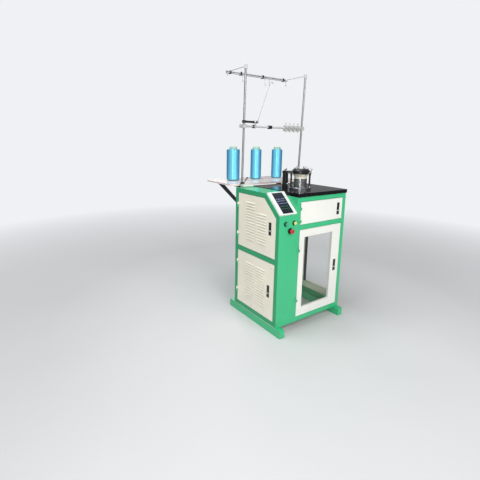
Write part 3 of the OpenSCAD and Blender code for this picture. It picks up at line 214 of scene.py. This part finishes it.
def yarn(name):
    """Lustrous filament wound in fine crossing turns, with painted shade at the foot of the package and a
    painted highlight down its middle.
    """
    t = Tree(name)
    foot = t.span(t.height(), 1.0, 0.0, FOOT_SHADE_FULL, FOOT_SHADE_NONE)
    turns = t.node("ShaderNodeTexWave", Vector=t.coords, Scale=190.0, Distortion=3.0, Detail=2.0,
                   Detail_Scale=1.5)
    turns.wave_type = "BANDS"
    turns.bands_direction = "Z"
    layers = t.noise(30, 4.0, (1, 1, 14))
    tone = t.mix(t.span(turns.outputs["Fac"], 0.0, 0.3), linear(38, 146, 208), linear(24, 116, 180))
    tone = t.mix(t.span(layers, 0.0, 0.3, 0.4, 0.7), tone, linear(84, 192, 236))
    # Painted shade: the package darkens towards its foot.
    tone = t.mix(t.math("MULTIPLY", foot, 0.85), tone, linear(12, 74, 112))
    # Painted highlight: a pale cyan band down the middle of each package where it faces the viewer, fading
    # towards its sides.
    turned_away = t.node("ShaderNodeLayerWeight", Blend=0.5).outputs["Facing"]
    tone = t.mix(t.span(turned_away, 0.75, 0.0, 0.12, 0.5), tone, linear(136, 232, 255))
    upright = t.node("ShaderNodeCombineXYZ", Z=1.0).outputs[0]
    t.set(Base_Color=tone, Metallic=0.55, Roughness=t.span(layers, 0.34, 0.46, 0.3, 0.7),
          Anisotropic=0.85, Tangent=upright, Coat_Weight=0.25, Coat_Roughness=0.2)
    both = t.math("ADD", turns.outputs["Fac"], t.math("MULTIPLY", layers, 0.6))
    t.bump(both, 0.18, 0.0004)
    return t.mat


def rubber(name, colour=(28, 28, 30), ribs=0.0):
    """Dull rubber, with ribs across X where their scale is given."""
    t = Tree(name)
    base = linear(*colour)
    tone = t.mix(t.cloud(40, 5.0, 0.0, 0.5, 0.4, 0.7), base, shade(base, 1.9))
    t.set(Base_Color=tone, Roughness=t.cloud(60, 4.0, 0.62, 0.82))
    height = t.noise(700, 3.0)
    if ribs:
        wave = t.node("ShaderNodeTexWave", Vector=t.coords, Scale=ribs)
        wave.bands_direction = "X"
        height = t.math("ADD", height, t.math("MULTIPLY", wave.outputs["Fac"], 2.0))
    t.bump(height, 0.4, 0.0004, t.soft_edges(FINE_EDGE))
    return t.mat


def clear(name):
    """Clear acrylic with light smears; nearly all light passes through it unbent."""
    t = Tree(name)
    smear = t.noise(7, 6.0, (1, 1, 2))
    t.set(Base_Color=(0.93, 0.97, 0.96, 1.0), Roughness=t.span(smear, 0.02, 0.10, 0.4, 0.7),
          Alpha=0.02, Specular_IOR_Level=0.5)
    t.bump(t.noise(4, 2.0), 0.03, 0.002)
    return t.mat


def laminate(name):
    """Pale board with soft veins."""
    t = Tree(name)
    veins = t.noise(9, 8.0, (0.5, 2.4, 1))
    tone = t.mix(t.span(veins, 0.0, 0.6, 0.4, 0.65), linear(232, 220, 216), linear(204, 186, 182))
    tone = t.mix(t.edge_mask(BOARD_EDGE, 0.5), tone, linear(176, 160, 150))
    t.set(Base_Color=tone, Roughness=t.cloud(20, 5.0, 0.22, 0.36), Coat_Weight=0.3)
    t.bump(t.noise(240, 2.0), 0.05, 0.0003, t.soft_edges(BOARD_EDGE))
    return t.mat


def glossy_top(name):
    """Black gloss with specks of lint and uneven polish."""
    t = Tree(name)
    lint = t.cloud(520, 2.0, 0.0, 1.0, 0.66, 0.72)
    polish = t.noise(3.0, 8.0)
    tone = t.mix(t.math("MULTIPLY", lint, 0.05), linear(22, 23, 25), linear(150, 150, 146))
    tone = t.mix(t.edge_mask(TOP_WORN, 0.35), tone, linear(90, 90, 92))
    t.set(Base_Color=tone, Roughness=t.span(polish, 0.08, 0.18, 0.35, 0.7), IOR=1.22)
    t.bump(t.noise(60, 2.0), 0.015, 0.0005, t.soft_edges(TOP_EDGE))
    return t.mat


def screen_glass(name):
    """A dim screen, a little brighter towards its top."""
    t = Tree(name)
    rise = t.span(t.height(), 0.0, 1.0, SCREEN_DARK, SCREEN_BRIGHT)
    tone = t.mix(rise, linear(24, 27, 36), linear(44, 48, 58))
    tone = t.mix(t.cloud(16, 4.0, 0.0, 0.3, 0.4, 0.7), tone, linear(36, 39, 48))
    t.set(Base_Color=tone, Roughness=t.cloud(30, 5.0, 0.12, 0.26, 0.35, 0.7), IOR=1.3)
    t.bump(t.noise(800, 2.0), 0.02, 0.0002)
    return t.mat


green = painted("green_coat", (50, 188, 128), rough=0.42, peel=0.06, coat=0.55, haze=0.06)
# Painted shade: a darker copy of the green paint, with little coat, for the left frame, whose side lies in
# shade.
shaded_green = painted("shaded_green_coat", (36, 158, 106), rough=0.42, coat=0.05)
ivory = painted("ivory_coat", (243, 238, 220), rough=0.36, worn=(160, 158, 146))
# Painted light: a whiter copy of the ivory paint for the front doors, which stand in the light.
lit_ivory = painted("lit_ivory_coat", (238, 238, 232), rough=0.33, worn=(160, 158, 150))
black_top = glossy_top("black_gloss")
white_plastic = plastic("white_plastic", (216, 220, 217), rough=0.30, grain=0.05)
screen = screen_glass("screen_glass")
bright = metal("bright_steel", (208, 209, 212), rough=0.22, along=6)
turned = metal("turned_steel", (150, 152, 156), rough=0.30, along=30, scale=260, depth=0.18)
needle_steel = metal("needle_steel", (214, 216, 220), rough=0.2, scale=500, depth=0.05)
dark_polish = metal("dark_polish", (150, 151, 153), rough=0.30, along=40, scale=220, depth=0.01, stain=0.1)
warm_polish = metal("warm_polish", (244, 238, 220), rough=0.4, along=40, scale=220, depth=0.08, stain=0.1,
                    share=0.35)
satin = metal("satin_alloy", (158, 160, 163), rough=0.4, along=12, scale=260)
zinc = metal("zinc_plate", (196, 196, 190), rough=0.34, scale=160, stain=0.5)
flange_steel = metal("flange_steel", (140, 142, 146), rough=0.28, along=40, scale=240, depth=0.03)
cap_white = plastic("cap_white", (188, 190, 190), rough=0.32, grain=0.05)
pale_alloy = metal("pale_alloy", (206, 208, 210), rough=0.4, along=12, scale=260, share=0.35)
black_iron = cast("black_iron", (14, 14, 16), rough=0.34, grain=0.25)
black_part = plastic("black_part", (22, 22, 24), rough=0.38, grain=0.15)
lock_coat = plastic("lock_coat", (20, 20, 22), rough=0.28, grain=0.2)
unit_white = plastic("unit_white", (190, 191, 187), rough=0.34, grain=0.1)
grey_paint = painted("grey_enamel", (74, 88, 98), rough=0.42, peel=0.3, wear=0.6)
control_grey = plastic("control_grey", (176, 178, 176), rough=0.45, grain=0.2)
belt = rubber("belt_rubber")
grip = rubber("roller_rubber", (34, 34, 37), ribs=130.0)
# Painted shade: plain black for the strip inside the right-hand window.
shadow_strip_black = rubber("shadow_strip_black", (16, 16, 18))
board = laminate("creel_laminate")
core = plastic("core_tube", (158, 196, 178), rough=0.42, grain=0.12)
filament = yarn("blue_filament")
acrylic = clear("clear_acrylic")
green_cap = plastic("green_cap", (48, 168, 128), rough=0.22, grain=0.04, coat=0.5)
yellow_cap = plastic("yellow_cap", (208, 218, 128), rough=0.25, grain=0.04, coat=0.3)
red_cap = plastic("red_cap", (184, 46, 40), rough=0.25, grain=0.04, coat=0.4)

LOCKED_DOORS = ("left_upper", "left_lower", "front_upper", "front_lower", "right")
LOOKS = {
    green: ["base_rails", "front_frame", "right_frame", "back_panel", "column_cover", "hinge_pins"],
    shaded_green: ["left_frame"],
    ivory: ["door_left_upper", "door_left_lower", "door_right", "inner_plates"],
    lit_ivory: ["door_front_upper", "door_front_lower"],
    black_top: ["table_top"],
    white_plastic: ["hmi_bezel"],
    screen: ["hmi_screen"],
    bright: ["yarn_feeders"],
    flange_steel: ["head_flange"],
    cap_white: ["pole_caps"],
    control_grey: ["control_gear"],
    grey_paint: ["motor"],
    belt: ["drive_belt"],
    turned: ["bearing_frames", "drive_shaft", "motor_pulley", "needle_cylinder"],
    needle_steel: ["needles"],
    dark_polish: ["cam_sleeve"],
    warm_polish: ["sinker_ring"],
    black_iron: ["head_post", "feeder_plate", "creel_brackets"],
    satin: ["stand_poles", "tension_wire"],
    pale_alloy: ["guide_bar", "guide_hooks", "cross_bar"],
    black_part: ["bar_clamps", "button_collars"],
    unit_white: ["tension_units"],
    board: ["creel_board"],
    core: ["bobbin_cores"],
    filament: ["yarn_packages"],
    acrylic: ["pane_front", "pane_right"],
    green_cap: ["start_button"],
    yellow_cap: ["stop_button"],
    red_cap: ["estop_button"],
    grip: ["takedown_roller_front", "takedown_roller_back"],
    lock_coat: [part + door for part in ("lever_", "push_") for door in LOCKED_DOORS],
}
for look, names in LOOKS.items():
    for name in names:
        data = nodes[name].data
        data.materials.clear()
        data.materials.append(look)

missing = sorted(set(nodes) - {name for names in LOOKS.values() for name in names})
if missing:
    raise RuntimeError("no look for " + ", ".join(missing))


# Small pieces

# Angle in degrees up to which neighbouring faces are shaded as one
SMOOTH_BELOW = 35


class Shape:
    """Collects simple solids, given in millimetres from the machine's corner, into one mesh."""

    def __init__(self):
        self.bm = bmesh.new()

    def box(self, low, high, place):
        low, high = Vector(low), Vector(high)
        for v in bmesh.ops.create_cube(self.bm, size=1.0)["verts"]:
            v.co = place @ Vector((low[i] + (high[i] - low[i]) * (v.co[i] + 0.5) for i in range(3)))

    def turned(self, profile, place, sides):
        """A solid turned about the place's Z from (radius, height) pairs."""
        rings = []
        for r, z in profile:
            if r == 0:
                rings.append([self.bm.verts.new(place @ Vector((0, 0, z)))])
            else:
                angles = (2 * math.pi * k / sides for k in range(sides))
                rings.append([self.bm.verts.new(place @ Vector((r * math.cos(a), r * math.sin(a), z)))
                              for a in angles])
        for one, two in zip(rings, rings[1:]):
            for k in range(sides):
                a, b = one[k % len(one)], one[(k + 1) % len(one)]
                c, d = two[(k + 1) % len(two)], two[k % len(two)]
                face = [a] + ([b] if b is not a else []) + [c] + ([d] if d is not c else [])
                self.bm.faces.new(face)

    def finish(self, name, body, slot, look):
        bmesh.ops.recalc_face_normals(self.bm, faces=self.bm.faces)
        mesh = bpy.data.meshes.new(name)
        for v in self.bm.verts:
            v.co = CORNER + v.co / MM_PER_M
        self.bm.to_mesh(mesh)
        self.bm.free()
        mesh.materials.append(look)
        obj = bpy.data.objects.new(name, mesh)
        bpy.context.scene.collection.objects.link(obj)
        mesh.shade_smooth()
        mesh.set_sharp_from_angle(angle=math.radians(SMOOTH_BELOW))
        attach(obj, body)


def facing(point, direction):
    """A place at the point whose own Z points along the direction."""
    return Matrix.Translation(point) @ Vector(direction).to_track_quat("Z", "Y").to_matrix().to_4x4()


SCREW_SIDES = 18


def screw(shape, point, direction, r, h):
    """A domed head with a round recess, r in radius and h high."""
    recess, floor = r * 0.42, h * 0.4
    profile = [(0, 0), (r, 0), (r, h * 0.45), (r * 0.72, h), (recess, h), (recess, floor), (0, floor)]
    shape.turned(profile, facing(point, direction), SCREW_SIDES)


Door = namedtuple("Door", "place width height lock_inset")


def standing(x, y, z, quarter_turns=0):
    """A door's own frame: X from the hinge edge along the door, Y into the cabinet, Z up from its foot."""
    return Matrix.Translation((x, y, z)) @ Matrix.Rotation(quarter_turns * math.pi / 2, 4, "Z")


# Hinge edges, lower edges and sizes of the doors
LEFT_HINGE_Y, FRONT_HINGE_X, RIGHT_HINGE_Y = 485, 198, 36
LOWER_Z, LEFT_UPPER_Z, FRONT_UPPER_Z = 101, 580, 815
SIDE_W, FRONT_W = 449, 443
LEFT_UPPER_H, LEFT_LOWER_H, FRONT_UPPER_H, WINDOW_H = 419, 434, 162, 673
# From a door's free edge to the middle of its lock
LEFT_INSET, OTHER_INSET = 58, 46
DOORS = {
    "left_upper": Door(standing(0, LEFT_HINGE_Y, LEFT_UPPER_Z, -1), SIDE_W, LEFT_UPPER_H, LEFT_INSET),
    "left_lower": Door(standing(0, LEFT_HINGE_Y, LOWER_Z, -1), SIDE_W, LEFT_LOWER_H, LEFT_INSET),
    "front_upper": Door(standing(FRONT_HINGE_X, 0, FRONT_UPPER_Z), FRONT_W, FRONT_UPPER_H, OTHER_INSET),
    "front_lower": Door(standing(FRONT_HINGE_X, 0, LOWER_Z), FRONT_W, WINDOW_H, OTHER_INSET),
    "right": Door(standing(CABINET_W, RIGHT_HINGE_Y, LOWER_Z, 1), SIDE_W, WINDOW_H, OTHER_INSET),
}
OUTER_FACE = -2.0

# A lock's opening, the rim round it, and the thin liner on its long sides
LOCK_W, LOCK_H = 22.0, 88.0
RIM_W, RIM_RISE = 2.6, 1.0
LINER, LINER_RISE, LINER_END = 0.2, 0.6, 10.9


def lock_surround(name, door):
    """The rim and the liner of one door's lock."""
    mid_x, mid_z = door.width - door.lock_inset, door.height / 2
    half_w, half_h = LOCK_W / 2, LOCK_H / 2
    front = OUTER_FACE - RIM_RISE
    s = Shape()
    for side in (-1, 1):
        x = mid_x + side * (half_w + RIM_W / 2)
        s.box((x - RIM_W / 2, front, mid_z - half_h - RIM_W),
              (x + RIM_W / 2, OUTER_FACE, mid_z + half_h + RIM_W), door.place)
        z = mid_z + side * (half_h + RIM_W / 2)
        s.box((mid_x - half_w, front, z - RIM_W / 2), (mid_x + half_w, OUTER_FACE, z + RIM_W / 2), door.place)
        x = mid_x + side * (half_w - LINER / 2)
        s.box((x - LINER / 2, OUTER_FACE - LINER_RISE, mid_z - half_h),
              (x + LINER / 2, LINER_END, mid_z + half_h), door.place)
    s.finish("lock_surround_" + name, "door_" + name, "lock_black", lock_coat)


# Hinges stand this far from a door's ends, or at this share of its height where that is less.
# Each leaf has two screws: places along the door, across its thickness and up from the hinge's middle.
HINGE_FROM_END, HINGE_SHARE = 142, 0.22
DOOR_LEAF = (12, -4, (5, 15))
FRAME_LEAF = (-13, -3.5, (-15, -5))
LEAF_SCREW_R, LEAF_SCREW_H = 2.6, 1.2


def leaf_screws(shape, door, leaf):
    """The screws of one kind of leaf at both hinges of a door."""
    along, across, rises = leaf
    outward = door.place.to_3x3() @ Vector((0, -1, 0))
    from_end = min(HINGE_FROM_END, HINGE_SHARE * door.height)
    for hinge_z in (from_end, door.height - from_end):
        for rise in rises:
            point = door.place @ Vector((along, across, hinge_z + rise))
            screw(shape, point, outward, LEAF_SCREW_R, LEAF_SCREW_H)


def hinge_screws(name, door):
    s = Shape()
    leaf_screws(s, door, DOOR_LEAF)
    # The front doors' screws take the same lit copy of the ivory paint.
    s.finish("hinge_screws_" + name, "door_" + name, "ivory_paint", lit_ivory if "front" in name else ivory)


# Screws of the back panel: two columns of five, and three along its foot
PANEL_COLUMNS, PANEL_ROWS = (14, 666), (100, 330, 560, 790, 980)
FOOT_COLUMNS, FOOT_ROW = (120, 300, 480), 76
PANEL_SCREW_R, PANEL_SCREW_H = 4.2, 2.2


def panel_screws():
    """Screws of the hinges' fixed leaves and of the back panel."""
    s = Shape()
    for door in DOORS.values():
        leaf_screws(s, door, FRAME_LEAF)
    places = [(x, z) for z in PANEL_ROWS for x in PANEL_COLUMNS] + [(x, FOOT_ROW) for x in FOOT_COLUMNS]
    for x, z in places:
        screw(s, (x, BACK_FACE, z), (0, 1, 0), PANEL_SCREW_R, PANEL_SCREW_H)
    s.finish("panel_screws", "cabinet", "bright_steel", zinc)


DOOR_SCREWS = ((66, 503), (293, 121))
DOOR_SCREW_R, DOOR_SCREW_H = 4.4, 2.0


def door_screws():
    """Two screws on the face of the lower left door."""
    s = Shape()
    for y, z in DOOR_SCREWS:
        screw(s, (OUTER_FACE, y, z), (-1, 0, 0), DOOR_SCREW_R, DOOR_SCREW_H)
    s.finish("door_screws", "door_left_lower", "bright_steel", zinc)


STRIP_LOW, STRIP_HIGH = (316, 19.4, 60), (346, 22.0, 620)


def window_shadow_strip():
    """A black strip inside the right-hand window: painted shade, standing for the shaded rear inner corner
    seen through the window.
    """
    s = Shape()
    s.box(STRIP_LOW, STRIP_HIGH, DOORS["right"].place)
    s.finish("window_shadow_strip", "door_right", "belt_rubber", shadow_strip_black)


# Circle of the flange's screws, the turn of the first in degrees, and the floor of their counterbores
FLANGE_R, FLANGE_SCREWS, FIRST_TURN, COUNTERBORE_Z = 76, 4, 10, 1052
SOCKET_SCREW = [(0, 0), (3.6, 0), (3.8, 0.4), (3.8, 3.4), (3.4, 3.8), (1.9, 3.8), (1.9, 1.4), (0, 1.4)]
SOCKET_SIDES = 24


def flange_screws():
    """Socket screws in the flange's counterbores."""
    s = Shape()
    for k in range(FLANGE_SCREWS):
        a = math.radians(FIRST_TURN + 360 / FLANGE_SCREWS * k)
        x, y = HEAD_X + FLANGE_R * math.cos(a), HEAD_Y + FLANGE_R * math.sin(a)
        s.turned(SOCKET_SCREW, Matrix.Translation((x, y, COUNTERBORE_Z)), SOCKET_SIDES)
    s.finish("flange_screws", "cabinet", "black_iron", black_iron)


# The panel's slope: the height of its foot, its rise and its run
SLOPE_FOOT, SLOPE_RISE, SLOPE_RUN = 893, 143, 154
# Fields: each row's place up the slope and its height, then widths, places across and thickness
FIELD_ROWS = ((137, 8), (119, 8), (98, 8), (72, 9), (52, 7))
PALE_ROWS = 3
FIELD_WIDTHS = (9, 13, 7, 11, 10)
FIELD_LEFT, FIELD_STEP = 46, 16
FIELD_BACK, FIELD_FRONT = 10.8, 10.95


def screen_fields():
    """Plain display fields on the screen, three pale rows over two green ones."""
    tilt = Matrix.Rotation(math.atan2(SLOPE_RISE, SLOPE_RUN), 4, "X")
    slope = Matrix.Translation((0, 0, SLOPE_FOOT)) @ tilt
    pale, leaf = Shape(), Shape()
    for row, (low, high) in enumerate(FIELD_ROWS):
        shape = pale if row < PALE_ROWS else leaf
        for k in range(len(FIELD_WIDTHS)):
            width = FIELD_WIDTHS[(k + row) % len(FIELD_WIDTHS)]
            left = FIELD_LEFT + k * FIELD_STEP
            shape.box((left, low, FIELD_BACK), (left + width, low + high, FIELD_FRONT), slope)
    pale_look = plastic("field_pale", (112, 122, 158), rough=0.3, grain=0.02)
    pale.finish("screen_fields_pale", "cabinet", "screen", pale_look)
    leaf_look = plastic("field_green", (44, 84, 62), rough=0.3, grain=0.02)
    leaf.finish("screen_fields_green", "cabinet", "screen", leaf_look)


ARM_END = (146, 495, 1543)
KNOB = [(0, 0), (5.5, 0), (6.5, 1.5), (6.5, 8), (5, 10), (0, 10)]
KNOB_SIDES = 28


def arm_knob():
    """White clamp knob at the end of the black arm."""
    s = Shape()
    s.turned(KNOB, facing(ARM_END, (0, -1, 0)), KNOB_SIDES)
    s.finish("arm_knob", "cabinet", "white_plastic", white_plastic)


for name, door in DOORS.items():
    lock_surround(name, door)
    hinge_screws(name, door)
panel_screws()
door_screws()
window_shadow_strip()
flange_screws()
screen_fields()
arm_knob()


# Camera, light and floor

# The photograph's camera: frame and lens in its pixels, turns in degrees, place in millimetres
PHOTO_SIZE, FOCAL, SHIFT = 480, 342.24, -26.0
YAW, PITCH, ROLL = 34.954, 11.830, 0.876
CAMERA_PLACE = (-1518.6, -1703.3, 1385.1)
SENSOR = 36.0

# Pale surroundings: their colour, how bright they are seen, and how bright they light the machine
SKY, SKY_SEEN, SKY_LIGHT = (0.93, 0.95, 0.97, 1.0), 0.93, 0.34

# The floor's half side, and where it starts and ends fading into the sky, in metres
FLOOR_HALF, FADE_START, FADE_END = 30.0, 1.8, 5.0

# Places of a Map Range node's lower and upper result among its inputs
TO_LOW, TO_HIGH = 3, 4


def photo_camera():
    yaw, pitch, roll = math.radians(YAW), math.radians(PITCH), math.radians(ROLL)
    ahead = Vector((math.sin(yaw) * math.cos(pitch), math.cos(yaw) * math.cos(pitch), -math.sin(pitch)))
    side = Vector((math.cos(yaw), -math.sin(yaw), 0))
    up = side.cross(ahead)
    right = math.cos(roll) * side + math.sin(roll) * up
    top = -math.sin(roll) * side + math.cos(roll) * up
    data = bpy.data.cameras.new("photo_camera")
    data.sensor_width = SENSOR
    data.lens = FOCAL / PHOTO_SIZE * SENSOR
    data.shift_y = SHIFT / PHOTO_SIZE
    data.clip_end = 100
    cam = bpy.data.objects.new("photo_camera", data)
    cam.matrix_world = Matrix((right, top, -ahead)).transposed().to_4x4()
    cam.location = at(*CAMERA_PLACE)
    bpy.context.scene.collection.objects.link(cam)
    bpy.context.scene.camera = cam


def lamp(name, energy, size, place, target, colour=(1, 1, 1)):
    data = bpy.data.lights.new(name, "AREA")
    data.energy = energy
    data.shape = "RECTANGLE"
    data.size, data.size_y = size
    data.color = colour
    obj = bpy.data.objects.new(name, data)
    obj.location = place
    obj.rotation_mode = "QUATERNION"
    obj.rotation_quaternion = (Vector(target) - Vector(place)).to_track_quat("-Z", "Y")
    bpy.context.scene.collection.objects.link(obj)


def sky():
    """Even light that is brighter where the camera looks at it, straight or through a pane."""
    world = bpy.data.worlds.new("studio")
    bpy.context.scene.world = world
    world.use_nodes = True
    tree = world.node_tree
    back = tree.nodes["Background"]
    path = tree.nodes.new("ShaderNodeLightPath")
    seen = tree.nodes.new("ShaderNodeMath")
    seen.operation = "MAXIMUM"
    tree.links.new(path.outputs["Is Camera Ray"], seen.inputs[0])
    tree.links.new(path.outputs["Is Transmission Ray"], seen.inputs[1])
    strength = tree.nodes.new("ShaderNodeMapRange")
    tree.links.new(seen.outputs[0], strength.inputs[0])
    strength.inputs[TO_LOW].default_value = SKY_LIGHT
    strength.inputs[TO_HIGH].default_value = SKY_SEEN
    tree.links.new(strength.outputs["Result"], back.inputs["Strength"])
    back.inputs["Color"].default_value = SKY


def studio_floor():
    """A pale floor that fades into the sky away from the machine."""
    mesh = bpy.data.meshes.new("floor")
    h = FLOOR_HALF
    mesh.from_pydata([(-h, -h, 0), (h, -h, 0), (h, h, 0), (-h, h, 0)], [], [(0, 1, 2, 3)])
    floor = bpy.data.objects.new("floor", mesh)
    bpy.context.scene.collection.objects.link(floor)
    t = Tree("floor_pale")
    tone = t.mix(t.cloud(1.5, 4.0, 0.0, 0.3), (0.60, 0.61, 0.62, 1), (0.55, 0.56, 0.57, 1))
    t.set(Base_Color=tone, Roughness=0.6)
    far = t.node("ShaderNodeVectorMath", i0=t.coords)
    far.operation = "LENGTH"
    glow = t.node("ShaderNodeEmission", Color=SKY, Strength=SKY_SEEN)
    path = t.node("ShaderNodeLightPath")
    distance = t.span(far.outputs["Value"], 0.0, 1.0, FADE_START, FADE_END)
    fade = t.math("MULTIPLY", distance, path.outputs["Is Camera Ray"])
    blend = t.node("ShaderNodeMixShader", i0=fade, i1=t.shader.outputs[0], i2=glow.outputs[0])
    t.tree.links.new(blend.outputs[0], t.tree.nodes["Material Output"].inputs["Surface"])
    mesh.materials.append(t.mat)


photo_camera()
lamp("key", 116, size=(3.0, 2.2), place=(-0.2, -3.8, 3.1), target=(0, 0, 0.9), colour=(1.0, 0.985, 0.96))
lamp("strip", 34, size=(0.5, 2.2), place=(-2.5, -2.6, 1.4), target=(0, 0, 1.2))
lamp("top", 92, size=(2.0, 2.0), place=(-1.3, 0.1, 4.2), target=(0, 0, 1.0))
lamp("rear", 40, size=(2.4, 2.0), place=(1.2, 4.2, 2.8), target=(0, 0.2, 1.1))
sky()
studio_floor()
bpy.context.scene.view_settings.view_transform = "Standard"
